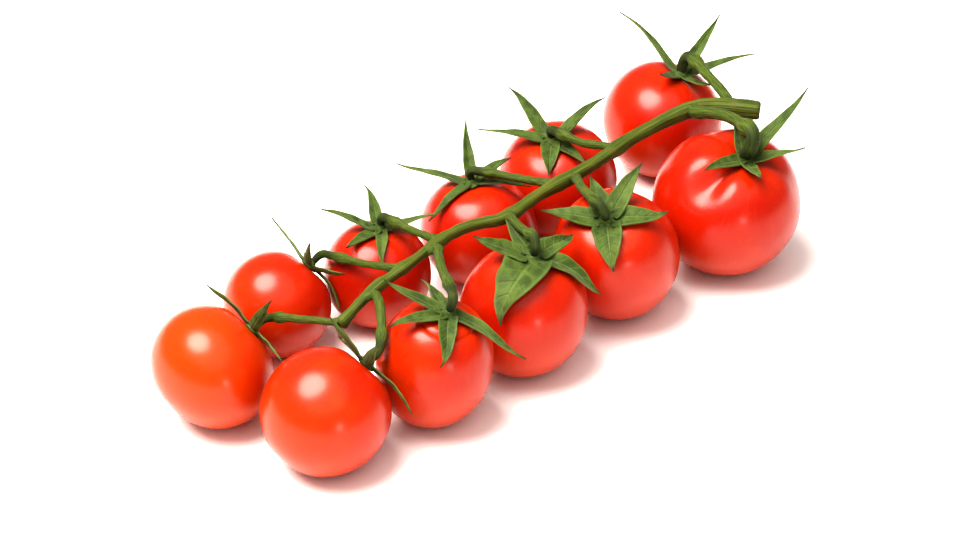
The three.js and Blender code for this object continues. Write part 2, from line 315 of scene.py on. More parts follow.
start_clean()
bpy.ops.mesh.primitive_uv_sphere_add(
    segments=FRUIT_SIDES, ring_count=FRUIT_RINGS, radius=1, location=(0, 0, 0)
)
master_fruit = bpy.context.object
bpy.ops.object.mode_set(mode="EDIT")
for ring, pull in enumerate(DIMPLE):
    level = -math.cos(ring * RING_STEP)
    pick(master_fruit, lambda co: abs(co.z - level) < BALL_SLACK)
    scale_about((0, 0, 0), pull, pull, pull)
bpy.ops.object.mode_set(mode="OBJECT")
print("one fruit:", len(master_fruit.data.polygons), "faces")

# %% [markdown]
# Each copy is drawn out to its own width and length. Its stalk hollow is pressed in ring by ring with
# the rule of the skin. Some shoulders also have a soft groove that runs down from the hollow, where two
# chambers of the fruit meet. A Displace modifier draws one in through a vertex group whose weights fade
# away from the groove. A soft lump pattern read at the fruit's own place makes it a little uneven, as
# fruit is, and the skin that would be under the table is laid flat on it, which is the small flat spot a
# fruit rests on.

# %% Copy it eleven times
fruit_lumps = clouds("fruit_lumps", 14 * MM)
LUMP_HEIGHT = 0.35 * MM
LEVEL_SLACK = 0.004 * MM
HOLLOW_RINGS = FRUIT_RINGS // 3
CREASE_HALF_WIDTH = 20  # degrees round the stalk
CREASE_AT = 40  # degrees from the stalk
CREASE_HALF_LENGTH = 26
CREASES = {  # fruit: which way each groove points over the table, and how deep it is
    2: [((-0.6, 1.0, 0.0), 0.6 * MM)],
    6: [((1.0, -0.6, 0.0), 0.9 * MM)],
    7: [((-1.0, 0.4, 0.0), 0.8 * MM)],
    9: [((1.0, 0.3, 0.0), 0.8 * MM)],
    10: [((0.2, -1.0, 0.0), 1.0 * MM)],
    11: [((-1.0, -0.05, 0.0), 2.8 * MM), ((0.9, -0.9, 0.0), 0.8 * MM), ((0.2, 1.0, 0.0), 1.0 * MM)],
}


def press_hollow(piece, fruit):
    """Pulls the rings round the stalk in to the hollow."""
    bpy.ops.object.mode_set(mode="EDIT")
    radius, half = fruit["radius"], fruit["half"]
    for ring in range(HOLLOW_RINGS):
        level = half * math.cos(ring * RING_STEP)
        width = radius * math.sin(ring * RING_STEP)
        angle = math.atan2(width, level)
        pull = skin_distance(fruit, angle) / math.hypot(width, level)
        pick(piece, lambda co: abs(co.z - level) < LEVEL_SLACK)
        scale_about((0, 0, 0), pull, pull, pull)
    bpy.ops.object.mode_set(mode="OBJECT")


def crease(piece, fruit, toward, depth):
    """Draws a soft groove down the shoulder, by moving a weighted patch of skin inwards."""
    way = fruit["place"].to_3x3().inverted() @ Vector(toward)
    turn = math.atan2(way.y, way.x)
    patch = piece.vertex_groups.new(name="crease")
    for corner in piece.data.vertices:
        off = math.degrees(math.remainder(math.atan2(corner.co.y, corner.co.x) - turn, math.tau))
        angle = math.degrees(corner.co.angle(UP))
        beside = off / CREASE_HALF_WIDTH
        beyond = (angle - CREASE_AT) / CREASE_HALF_LENGTH
        patch.add([corner.index], math.exp(-(beside**2) - beyond**2), "REPLACE")
    apply_modifier(piece, "DISPLACE", vertex_group="crease", strength=-depth, mid_level=0)
    piece.vertex_groups.clear()


def make_fruit(number):
    """A fruit in its place, with its hollow, grooves and flat spot."""
    fruit = fruits[number]
    piece = copy_of(master_fruit, f"fruit_{number:02d}")
    settle(piece, Matrix.Diagonal((fruit["radius"], fruit["radius"], fruit["half"], 1)))
    press_hollow(piece, fruit)
    for toward, depth in CREASES.get(number, ()):
        crease(piece, fruit, toward, depth)
    settle(piece, fruit["place"])
    make_uneven(piece, fruit_lumps, LUMP_HEIGHT)
    take(piece)
    bpy.ops.object.mode_set(mode="EDIT")
    pick(piece, lambda co: co.z < 0)
    scale_about((0, 0, 0), z=0)
    bpy.ops.object.mode_set(mode="OBJECT")
    return piece


skins = {number: make_fruit(number) for number in fruits}
start_clean()
bpy.data.objects.remove(master_fruit)
print("fruit made:", len(skins))

# %% [markdown]
# The vine isn't a round pipe. A tomato stem has soft ridges along it, so its section is drawn once as a
# closed outline with five low ribs. That outline is swept along a curve through the measured middles.
# Each point of the curve carries the measured radius, so the swelling at every joint comes along by
# itself. A swept curve also gives the mesh a map of its own, along and around, which the bark pattern
# needs later.

# %% Sweep a stem
SECTION_POINTS = 22


def section(ribs, depth):
    """The outline of a ribbed stem, one metre in radius, to be swept along a curve."""
    outline = bpy.data.curves.new("section", "CURVE")
    spline = outline.splines.new("POLY")
    spline.points.add(SECTION_POINTS - 1)
    spline.use_cyclic_u = True
    for i, point in enumerate(spline.points):
        turn = math.tau * i / SECTION_POINTS
        radius = 1 + depth * math.cos(ribs * turn)
        point.co = (radius * math.cos(turn), radius * math.sin(turn), 0, 1)
    drawn = bpy.data.objects.new("section", outline)
    bpy.context.scene.collection.objects.link(drawn)
    return drawn


def line_through(name, places, radii, fineness):
    """A smooth curve through places, with a radius at each and fineness steps between two of them."""
    curve = bpy.data.curves.new(name, "CURVE")
    curve.dimensions = "3D"
    curve.resolution_u = curve.render_resolution_u = fineness
    spline = curve.splines.new("BEZIER")
    spline.bezier_points.add(len(places) - 1)
    for knot, place, radius in zip(spline.bezier_points, places, radii):
        knot.co = place
        knot.radius = radius
        knot.handle_left_type = knot.handle_right_type = "AUTO"
    drawn = bpy.data.objects.new(name, curve)
    bpy.context.scene.collection.objects.link(drawn)
    return drawn


def sweep(name, places, radii, outline, fineness=4):
    """A closed stem: the outline swept along the line through places."""
    drawn = line_through(name, places, radii, fineness)
    drawn.data.bevel_mode = "OBJECT"
    drawn.data.bevel_object = outline
    drawn.data.use_fill_caps = True
    take(drawn)
    bpy.ops.object.convert(target="MESH")
    bpy.ops.object.mode_set(mode="EDIT")
    bpy.ops.mesh.select_all(action="SELECT")
    bpy.ops.mesh.remove_doubles(threshold=SAME_PLACE)
    bpy.ops.mesh.normals_make_consistent(inside=False)
    bpy.ops.object.mode_set(mode="OBJECT")
    return bpy.context.object


# %% [markdown]
# The main stem runs from its thin tip to the end where the truss was cut from the plant. The knife
# leaves a slightly crushed rim round the wood and pith. The cut face is found by its place, inset, and
# sunk a little, the way a cut dries back between the harder skin and its core.

# %% The main stem
STEM_RIBS, STEM_RIB_DEPTH = 5, 0.055
FLAT = 0.9999  # faces this much alike in direction are one flat face
stem_section = section(STEM_RIBS, STEM_RIB_DEPTH)
stem_mesh = bmesh.new()
stem_mesh.from_mesh(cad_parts["main_stem"].data)
bmesh.ops.remove_doubles(stem_mesh, verts=stem_mesh.verts, dist=SAME_PLACE)
flat_ends = [
    corner.co.copy()
    for corner in stem_mesh.verts
    if all(face.normal.dot(corner.link_faces[0].normal) > FLAT for face in corner.link_faces)
]
stem_mesh.free()
cut_end = max(flat_ends, key=lambda place: place.x)
stem_rings = rings_of("main_stem", cut_end, 10 * SAME_PLACE)
stem_line = [middle for middle, radius, _ in stem_rings[1:-1]]
stem_radii = [radius for middle, radius, _ in stem_rings[1:-1]]
cut_way = (stem_line[0] - stem_line[1]).normalized()
tip_way = (stem_line[-1] - stem_line[-2]).normalized()
thick, thin = (round(radius / MM, 2) for radius in (stem_radii[0], stem_radii[-1]))
print("main stem:", len(stem_line), "rings, radius from", thick, "to", thin, "mm")

CRUSHED_LENGTH = 0.5 * MM
CRUSHED_SHARE = 0.86  # of the radius, at the cut
TIP_LENGTH = 0.6 * MM
TIP_SHARE = 0.55  # of the radius, at the thin tip
CUT_SLACK = 0.05 * MM  # corners this close to the cut are on it
CUT_RIM_WIDTH = 0.45 * MM
CUT_SINK = 0.5 * MM
WOOD_WIDTH = 0.5 * MM
CORE_RISE = 0.25 * MM
STEM_LUMPS = 0.45 * MM

crushed = stem_line[0] - CRUSHED_LENGTH * cut_way
line = [stem_line[0], crushed, *stem_line[1:], stem_line[-1] + TIP_LENGTH * tip_way]
radii = [CRUSHED_SHARE * stem_radii[0], *stem_radii, TIP_SHARE * stem_radii[-1]]
stem = sweep("vine_stem", line, radii, stem_section)
bpy.ops.object.mode_set(mode="EDIT")
pick(stem, lambda co: (co - cut_end).dot(cut_way) > -CUT_SLACK)
bpy.ops.mesh.inset(thickness=CUT_RIM_WIDTH)
bpy.ops.transform.translate(value=-CUT_SINK * cut_way)
bpy.ops.mesh.inset(thickness=WOOD_WIDTH)
bpy.ops.transform.translate(value=CORE_RISE * cut_way)
bpy.ops.object.mode_set(mode="OBJECT")
bark_lumps = clouds("bark_lumps", 3 * MM)
make_uneven(stem, bark_lumps, STEM_LUMPS)
print("main stem:", len(stem.data.polygons), "faces")

# %% [markdown]
# Each stalk follows its measured rings up to the main stem and goes on to the middle of it, with a wider
# foot, so that the two grow out of each other with no gap. The knuckle is where a ripe fruit breaks off.
# It has a groove round its middle, which the engineering stalk is too coarse to show, so the groove is
# set in the radii here. On a few stalks the end from the fruit to the knuckle is swollen, so there the
# radii are larger too.

# %% The stalks
STALK_RIBS, STALK_RIB_DEPTH = 4, 0.04
RING_CORNERS = 8  # a ring with fewer corners is only part of one
KNUCKLE_AT = 0.26  # share of the stalk from the fruit
KNUCKLE_GROOVE = 0.14
KNUCKLE_LIP = 1.06  # times the radius, on both sides of the groove
KNUCKLE_SWELL = {11: 1.3, 10: 1.15, 8: 1.1}  # stalk: times the radius, from the fruit to the knuckle
COLLAR_LENGTH = 0.9 * MM  # how far the stalk goes down into the star's hub
COLLAR_FLARE = (1.12, 1.02)  # times the radius, at the end and at the first ring
FOOT_FLARE = (1.22, 1.2)  # times the radius, at the last ring and inside the main stem
FOOT_SHARE = 0.12  # share of the way back from the middle of the main stem where the foot ends
STALK_LUMPS = 0.3 * MM
stalk_section = section(STALK_RIBS, STALK_RIB_DEPTH)


def make_stalk(number):
    """A stalk from the collar of its fruit into the main stem, with the knuckle in its radii."""
    rings = fruits[number]["stalk"]
    whole = [ring for ring in rings if ring[2] >= RING_CORNERS][:-1]
    places = [ring[0] for ring in whole]
    radii = [ring[1] for ring in whole]
    base = min(stem_line, key=lambda place: (place - places[-1]).length)
    out = (places[0] - places[1]).normalized()
    places = [places[0] + COLLAR_LENGTH * out, *places, base.lerp(places[-1], FOOT_SHARE)]
    collar = [flare * radii[0] for flare in COLLAR_FLARE]
    foot = [flare * radii[-1] for flare in FOOT_FLARE]
    radii = [*collar, *radii[1:-1], *foot]
    groove = round(KNUCKLE_AT * (len(places) - 1))
    swell = KNUCKLE_SWELL.get(number, 1.0)
    for i in range(groove + 2):
        radii[i] *= swell
    radii[groove] *= 1 - KNUCKLE_GROOVE
    radii[groove - 1] *= KNUCKLE_LIP
    radii[groove + 1] *= KNUCKLE_LIP
    piece = sweep(f"stalk_{number:02d}", places, radii, stalk_section)
    make_uneven(piece, bark_lumps, STALK_LUMPS)
    return piece


stalks = {number: make_stalk(number) for number in fruits}
print("stalks made:", len(stalks))

# %% [markdown]
# A sepal is a small pointed leaf. One blade is modelled flat and a metre long, as a grid whose rows are
# drawn in to the outline of the leaf. Its sides are lifted into a shallow trough with the midrib at the
# bottom, and its edge is ruffled. Working flat keeps the map of the grid, so a vein drawn on the map
# later always follows the leaf.

# %% Model one sepal
BLADE_ROWS = 22
BLADE_COLUMNS = 8
TROUGH = 0.16
TROUGH_CURVE = 1.4  # the power of the distance from the midrib that the trough rises with
RUFFLE = 0.03
RUFFLE_STEP = 0.9  # radians of the ruffle from row to row
RUFFLE_SHIFT = 1.3  # radians that it is ahead on one edge, and behind on the other
RUFFLE_SIDEWAYS = 0.4  # share of the ruffle that also moves the edge in and out
EDGE_FROM = 0.4  # share of the width from the midrib, where the ruffled edge starts
TIP_WIDTH = 0.03
GRID_SLACK = 0.001


def leaf_width(share):
    """Width of a sepal along its length: broad near its root and drawn out to a fine tip."""
    return max(TIP_WIDTH, (1 - share) ** 1.25 * (0.75 + 1.5 * share) / 0.8)


start_clean()
bpy.ops.mesh.primitive_grid_add(
    x_subdivisions=BLADE_ROWS, y_subdivisions=BLADE_COLUMNS, size=1, location=(0.5, 0, 0)
)
master_sepal = bpy.context.object
bpy.ops.object.transform_apply(location=True)
bpy.ops.object.mode_set(mode="EDIT")
for column in range(BLADE_COLUMNS + 1):
    side = column / BLADE_COLUMNS - 0.5
    pick(master_sepal, lambda co: abs(co.y - side) < GRID_SLACK)
    bpy.ops.transform.translate(value=(0, 0, TROUGH * abs(2 * side) ** TROUGH_CURVE))
for row in range(BLADE_ROWS + 1):
    share = row / BLADE_ROWS
    pick(master_sepal, lambda co: abs(co.x - share) < GRID_SLACK)
    width = leaf_width(share)
    scale_about((share, 0, 0), 1, width, width)
    for side in (-1, 1):
        pick(master_sepal, lambda co: abs(co.x - share) < GRID_SLACK and co.y * side > EDGE_FROM * width)
        wave = RUFFLE * math.sin(RUFFLE_STEP * row + RUFFLE_SHIFT * side) * width
        bpy.ops.transform.translate(value=(0, RUFFLE_SIDEWAYS * wave * side, wave))
bpy.ops.object.mode_set(mode="OBJECT")
print("one sepal:", len(master_sepal.data.polygons), "faces")

# %% [markdown]
# To lay a sepal over the fruit, a curve is drawn from the hub out over the skin to the measured tip, and
# the blade is bent along it with a Curve modifier. The blade sways to one side, the curve's tilt twists
# it and its tip curls up, all from a seeded draw, because no two dried sepals are alike. Solidify gives
# the leaf its thickness.

# %% Lay the sepals over the fruit
draw = random.Random(11)
SPINE_KNOTS = 13
SPINE_FINENESS = 6
SEPAL_THICKNESS = 0.32 * MM
SEPAL_HEIGHT = 0.42 * MM  # of the midrib over the skin
ROOT_FROM_STALK = 0.9 * MM
ROOT_RISE = 0.5 * MM  # how much higher the root is, on the hub
MOST_SWAY = math.radians(15)
MOST_TWIST = math.radians(55)
TIP_CURLS = (0.5 * MM, 2.2 * MM)  # least and most
BREADTHS = (1.0, 1.15)  # least and most, times as broad


def over_skin(fruit, angle, turn, height):
    """A place over the skin in the fruit's upright position."""
    distance = skin_distance(fruit, angle) + height
    way = (math.sin(angle) * math.cos(turn), math.sin(angle) * math.sin(turn), math.cos(angle))
    return Vector(way) * distance


def make_sepal(fruit, sepal, breadth):
    """A sepal that many times as broad as measured, over its fruit in the upright position."""
    root = ROOT_FROM_STALK / skin_distance(fruit, 0)
    lift = sepal["lift"] + SEPAL_REST - SEPAL_HEIGHT
    sideways = draw.uniform(-MOST_SWAY, MOST_SWAY)
    twist = draw.uniform(-MOST_TWIST, MOST_TWIST)
    curl = draw.uniform(*TIP_CURLS)
    # the powers keep the sway between root and tip, the root's rise near it, and the curl near the tip
    places = []
    for i in range(SPINE_KNOTS):
        share = i / (SPINE_KNOTS - 1)
        angle = root + (sepal["reach"] - root) * share
        turn = sepal["turn"] + sideways * (share**2 - share**5)
        root_rise = ROOT_RISE * (1 - share) ** 8
        height = SEPAL_HEIGHT + lift * share**2 + curl * share**7 + root_rise
        places.append(over_skin(fruit, angle, turn, height))
    spine = line_through("spine", places, [1] * SPINE_KNOTS, SPINE_FINENESS)
    spine.data.twist_mode = "Z_UP"
    for i, knot in enumerate(spine.data.splines[0].bezier_points):
        knot.tilt = twist * (i / (SPINE_KNOTS - 1)) ** 3
    length = sum((b - a).length for a, b in zip(places, places[1:]))
    piece = copy_of(master_sepal, "sepal")
    width = sepal["width"] * draw.uniform(*BREADTHS) * breadth
    settle(piece, Matrix.Diagonal((length, width, width, 1)))
    apply_modifier(piece, "CURVE", object=spine, deform_axis="POS_X")
    apply_modifier(piece, "SOLIDIFY", thickness=SEPAL_THICKNESS, offset=0)
    bpy.data.objects.remove(spine)
    return piece


# %% [markdown]
# The five sepals grow from a small thick hub that sits down in the hollow, with a collar round the end
# of the stalk. A cylinder is the start; its top is inset and drawn up into the collar, its skirt is
# spread, and a subdivision rounds it. Most of the stars have slimmer sepals than the engineering ones,
# and on four of them the lowest sepal is the broadest, so two small tables say how broad they are.

# %% The hub, and the whole star
HUB_RADIUS = 2.1 * MM
HUB_SIDES = 15
HUB_LIFT = 0.05 * MM  # of its floor over the bottom of the hollow
DRUM_SHARE = 0.5  # of the hub's rise, that the drum takes
SHOULDER_SHARE = 0.15  # the next part, that slopes in to the collar
COLLAR_SHARE = 0.55  # the collar itself, a little past the first ring of the stalk
COLLAR_THICKNESS = 1.5  # times the stalk's radius
COLLAR_TAPER = 0.84
SKIRT_SPREAD = 1.12


def make_hub(fruit):
    """The hub of a star in the upright position, from the bottom of the hollow to the stalk's foot."""
    foot = fruit["place"].inverted() @ fruit["stalk"][0][0]
    collar = fruit["stalk"][0][1]
    floor_level = skin_distance(fruit, 0) + HUB_LIFT
    rise = foot.z - floor_level
    drum = DRUM_SHARE * rise
    half_way = floor_level + drum / 2
    start_clean()
    bpy.ops.mesh.primitive_cylinder_add(
        vertices=HUB_SIDES, radius=HUB_RADIUS, depth=drum, location=(0, 0, half_way), end_fill_type="NGON"
    )
    piece = bpy.context.object
    bpy.ops.object.transform_apply(location=True)
    bpy.ops.object.mode_set(mode="EDIT")
    pick(piece, lambda co: co.z > half_way)
    bpy.ops.mesh.inset(thickness=HUB_RADIUS - COLLAR_THICKNESS * collar)
    bpy.ops.transform.translate(value=(0, 0, SHOULDER_SHARE * rise))
    bpy.ops.mesh.extrude_region_move(TRANSFORM_OT_translate={"value": (0, 0, COLLAR_SHARE * rise)})
    bpy.ops.transform.resize(value=(COLLAR_TAPER, COLLAR_TAPER, 1))
    pick(piece, lambda co: co.z < half_way)
    bpy.ops.transform.resize(value=(SKIRT_SPREAD, SKIRT_SPREAD, 1))
    bpy.ops.object.mode_set(mode="OBJECT")
    apply_modifier(piece, "SUBSURF", levels=2, render_levels=2)
    return piece


# star: which way its broad sepal is turned, in degrees, and times as broad
BROAD_SEPALS = {5: (-135, 1.15), 7: (-155, 1.75), 8: (-138, 1.2), 9: (-130, 1.3)}
# star: times as broad, for its other sepals
SLIM_STARS = {1: 0.85, 2: 0.85, 3: 0.8, 4: 0.85, 6: 0.75, 8: 0.8, 10: 0.72, 11: 0.75}
TURN_SLACK = 5  # degrees between the turn in the table and the measured one


def breadth_of(number, sepal):
    """How many times its measured width a sepal is."""
    turn, times = BROAD_SEPALS.get(number, (0, 1))
    broad = abs(math.degrees(sepal["turn"]) - turn) < TURN_SLACK
    return times if broad else SLIM_STARS.get(number, 1)


def make_star(number):
    """Hub and sepals of a fruit as one piece, in place. The hub's faces keep the second finish."""
    fruit = fruits[number]
    hub = make_hub(fruit)
    sepals = [make_sepal(fruit, sepal, breadth_of(number, sepal)) for sepal in stars[number]]
    hub.data.materials.append(None)
    hub.data.materials.append(None)
    for face in hub.data.polygons:
        face.material_index = 1
    take(*sepals, hub)
    bpy.ops.object.join()
    hub.name = hub.data.name = f"star_{number:02d}"
    settle(hub, fruit["place"])
    return hub


star_pieces = {number: make_star(number) for number in fruits}
start_clean()
bpy.data.objects.remove(master_sepal)
star_faces = sum(len(piece.data.polygons) for piece in star_pieces.values())
print("stars made:", len(star_pieces), "with", star_faces, "faces")

# %% [markdown]
# The last flower of the truss never set a fruit. It hangs withered under the tip of the stem as a pale,
# pinched little bud. A low ball is drawn in at its neck and its lower end, and five creases are pulled
# in round it, one for each withered petal.

# %% The withered bud
BUD_SIDES, BUD_RINGS = 20, 14
PETALS = 5
PETAL_CREASE = 0.82  # share left of the radius, in a crease
PETAL_HALF_ANGLE = 0.2  # radians round the bud, to each side of a crease
BUD_STRETCH = 1.15
NECK_FROM = 0.6  # levels on a ball with a radius of one
POINT_FROM = -0.5
CREASES_TO = 0.7
NECK_SHARE, NECK_STRETCH = 0.6, 1.3
POINT_SHARE = 0.5

low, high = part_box("end_bud")
middle = (low + high) / 2
half = (high - low) / 2
start_clean()
bpy.ops.mesh.primitive_uv_sphere_add(
    segments=BUD_SIDES, ring_count=BUD_RINGS, radius=1, location=(0, 0, 0)
)
bud = bpy.context.object
bud.name = bud.data.name = "withered_bud"
bpy.ops.object.mode_set(mode="EDIT")
pick(bud, lambda co: co.z > NECK_FROM)
bpy.ops.transform.resize(value=(NECK_SHARE, NECK_SHARE, NECK_STRETCH))
pick(bud, lambda co: co.z < POINT_FROM)
bpy.ops.transform.resize(value=(POINT_SHARE, POINT_SHARE, 1))
for petal in range(PETALS):
    turn = math.tau * petal / PETALS
    pick(
        bud,
        lambda co: co.z < CREASES_TO
        and abs(math.remainder(math.atan2(co.y, co.x) - turn, math.tau)) < PETAL_HALF_ANGLE,
    )
    scale_about((0, 0, 0), PETAL_CREASE, PETAL_CREASE)
bpy.ops.object.mode_set(mode="OBJECT")
settle(bud, Matrix.Translation(middle) @ Matrix.Diagonal((half.x, half.y, half.z * BUD_STRETCH, 1)))
print("bud:", [round(side / MM, 1) for side in bud.dimensions], "mm")

# %% [markdown]
# Every finish here is drawn by nodes, so it stays sharp at any distance. Wiring nodes by hand hides the
# idea, so a small class stands for one output of a node, and plain sums on it add the Math nodes. A
# second class holds a material and adds any other node. Whatever is the same all over a surface is typed
# straight into the shader.


# %% Maths with wires
class Wire:
    """One output of a node. Sums on it add Math nodes."""

    def __init__(self, finish, socket):
        self.finish, self.socket = finish, socket

    def maths(self, operation, first, second=0.0):
        return self.finish.node("ShaderNodeMath", {"operation": operation}, {0: first, 1: second})

    def sine(self):
        return self.maths("SINE", self)

    def cosine(self):
        return self.maths("COSINE", self)

    def __abs__(self):
        return self.maths("ABSOLUTE", self)

    def __add__(self, other):
        return self.maths("ADD", self, other)

    def __sub__(self, other):
        return self.maths("SUBTRACT", self, other)

    def __rsub__(self, other):
        return self.maths("SUBTRACT", other, self)

    def __mul__(self, other):
        return self.maths("MULTIPLY", self, other)

    __radd__ = __add__
    __rmul__ = __mul__


class Finish:
    """A material, with one method that adds nodes to it."""

    def __init__(self, name):
        self.material = bpy.data.materials.new(name)
        self.material.use_nodes = True
        self.nodes = self.material.node_tree.nodes
        self.links = self.material.node_tree.links
        self.shader = next(node for node in self.nodes if node.type == "BSDF_PRINCIPLED")

    def plug(self, socket, value):
        """Links a wire to a socket, or types a value into it."""
        if isinstance(value, Wire):
            self.links.new(value.socket, socket)
        else:
            socket.default_value = value

    def node(self, kind, settings=None, values=None, output=0):
        """Adds a node, sets it, fills its sockets and gives back one output."""
        node = self.nodes.new(kind)
        for key, value in (settings or {}).items():
            setattr(node, key, value)
        for key, value in (values or {}).items():
            self.plug(node.inputs[key], value)
        return Wire(self, node.outputs[output])

    def surface(self, **values):
        """Fills the shader's own sockets; underlines stand for spaces."""
        for key, value in values.items():
            self.plug(self.shader.inputs[key.replace("_", " ")], value)

    def places(self):
        """Where a point is in the piece's own space, in metres."""
        return self.node("ShaderNodeTexCoord", output=3)

    def noise(self, places, scale, detail=2.0):
        """Soft noise from 0 to 1. The scale is how many lumps there are to a metre."""
        values = {"Vector": places, "Scale": scale, "Detail": detail}
        return self.node("ShaderNodeTexNoise", values=values)

    def mix(self, share, first, second):
        """The first colour where share is 0, the second where it is 1."""
        return self.node("ShaderNodeMix", {"data_type": "RGBA"}, {0: share, 6: first, 7: second}, output=2)

    def fade(self, value, low, high):
        """0 up to low, 1 from high on, smooth between. High may be below low."""
        ends = {"Value": value, "From Min": low, "From Max": high}
        return self.node("ShaderNodeMapRange", {"interpolation_type": "SMOOTHSTEP"}, ends)

    def bump(self, height, distance, strength=1.0):
        """A surface direction from a height; the distance is how deep a height of 1 is."""
        values = {"Height": height, "Distance": distance, "Strength": strength}
        return self.node("ShaderNodeBump", values=values)

    def map_of_piece(self):
        """The two directions of the piece's own map."""
        whole = self.node("ShaderNodeUVMap", {"uv_map": "UVMap"})
        return [self.node("ShaderNodeSeparateXYZ", values={0: whole}, output=i) for i in (0, 1)]

    def round_and_along(self, round_share, along, stretch):
        """A place on a drum, so that a pattern closes where the map's two edges meet."""
        turn = round_share * math.tau
        drum = {0: turn.cosine(), 1: turn.sine(), 2: along * stretch}
        return self.node("ShaderNodeCombineXYZ", values=drum)


def tone(red, green, blue):
    return (red, green, blue, 1.0)


# %% [markdown]
# Tomato skin is a clear, waxy film over red flesh. The flesh scatters a little light, so the shadows
# stay warm, and the film gives the broad soft highlight. Close up, fine pale streaks run from the stalk
# down the sides, the shoulder is a shade more orange, small pale pores dot the skin, and the blossom end
# has a brown scar. The half towards the blossom end, the lower side on most fruit, is painted lighter and
# more orange as painted light bounced up from the table. How ripe a fruit is comes from a number stored
# on its own mesh, so one finish serves all eleven.

# %% Tomato skin
skin = Finish("ripe_tomato_skin")
where = skin.places()
around, rise = skin.map_of_piece()
ripeness = skin.node("ShaderNodeAttribute", {"attribute_name": "ripeness"}, output=2)
streaks = skin.noise(skin.round_and_along(around, rise, 0.5), 16, 3.0)
patches = skin.noise(where, 75, 2.0)
pores = skin.node("ShaderNodeTexVoronoi", values={"Vector": where, "Scale": 900.0})
pored_areas = skin.fade(skin.noise(where, 260), 0.48, 0.62)
pore_mask = skin.fade(pores, 0.22, 0.1) * pored_areas
shoulder = skin.fade(rise, 0.72, 0.97)
bounce_lit_side = skin.fade(rise, 0.62, 0.25)
blossom = skin.fade(rise, 0.10, 0.0)

DEEP_RED = tone(0.32, 0.002, 0.001)
RIPE_RED = tone(0.45, 0.021, 0.001)
ORANGE_RED = tone(0.53, 0.052, 0.001)
SHOULDER_ORANGE = tone(0.53, 0.058, 0.002)
PORE_GOLD = tone(0.60, 0.10, 0.015)
SCAR_BROWN = tone(0.10, 0.045, 0.018)

flesh = skin.mix(skin.fade(ripeness + (patches - 0.5) * 0.9, 0.0, 0.55), ORANGE_RED, RIPE_RED)
flesh = skin.mix(skin.fade(ripeness + (patches - 0.5) * 0.7, 0.5, 1.15), flesh, DEEP_RED)
flesh = skin.mix(skin.fade(streaks, 0.52, 0.75) * 0.22, flesh, ORANGE_RED)
flesh = skin.mix(shoulder * 0.28, flesh, SHOULDER_ORANGE)
# painted light: the half towards the blossom end is painted lighter and more orange, standing in for light
# bounced up from the table
flesh = skin.mix(bounce_lit_side * 0.6, flesh, ORANGE_RED)
flesh = skin.mix(blossom * 0.25, flesh, ORANGE_RED)
flesh = skin.mix(pore_mask * 0.18, flesh, PORE_GOLD)
scar = skin.fade(rise + (streaks - 0.5) * 0.010, 0.014, 0.008)
flesh = skin.mix(scar, flesh, SCAR_BROWN)

waviness = skin.noise(where, 420, 2.0) * 0.25 + streaks * 0.2 + patches * 0.6 - pore_mask * 0.15
skin.surface(
    Base_Color=flesh,
    Roughness=0.22 + patches * 0.05 + scar * 0.4,
    Normal=skin.bump(waviness, 0.12 * MM, 0.6),
    IOR=1.38,
    Subsurface_Weight=0.15,
    Subsurface_Radius=(1.0, 0.22, 0.1),
    Subsurface_Scale=2.5 * MM,
    Coat_Weight=0.2,
    Coat_Roughness=0.35,
    Coat_IOR=1.5,
)
# fruit: how ripe, from 0 for orange to 1 for deep red
RIPENESS = {1: 0.02, 2: 0.42, 3: 0.5, 4: 0.7, 5: 0.45, 6: 0.75, 7: 0.6, 8: 0.75, 9: 0.5, 10: 0.7, 11: 0.72}
for number, piece in skins.items():
    stored = piece.data.attributes.new("ripeness", "FLOAT", "POINT")
    stored.data.foreach_set("value", [RIPENESS[number]] * len(piece.data.vertices))
    piece.data.materials.append(skin.material)
print("skin nodes:", len(skin.nodes))

# %% [markdown]
# The green of the vine is never one green. Pale and dark fibres run along it, older bark is blotched
# with a yellow tan, and the whole stem carries very fine hairs that catch light from the side. The hairs
# are too fine to model here, so a grainy bump and a faint sheen stand for them. The same recipe with
# other tones makes the stalks, and the map along a stalk says where its knuckle is. The knuckle's groove
# and the end from the knuckle to the fruit get painted shade, a dark green for the shade in the groove
# and under the star.


# %% Greens of the vine
# painted shade, for the knuckle's groove and the stalk's end under the star
KNUCKLE_SHADE = tone(0.0128, 0.0209, 0.0041)
CUT_TAN = tone(0.047, 0.0399, 0.013)
CUT_LENGTH = 0.055  # share of the stem that has gone tan by its cut
STEM_TONES = (tone(0.118, 0.148, 0.018), tone(0.030, 0.053, 0.007), tone(0.120, 0.118, 0.018))
STALK_TONES = (tone(0.104, 0.144, 0.018), tone(0.028, 0.053, 0.007), tone(0.110, 0.118, 0.018))


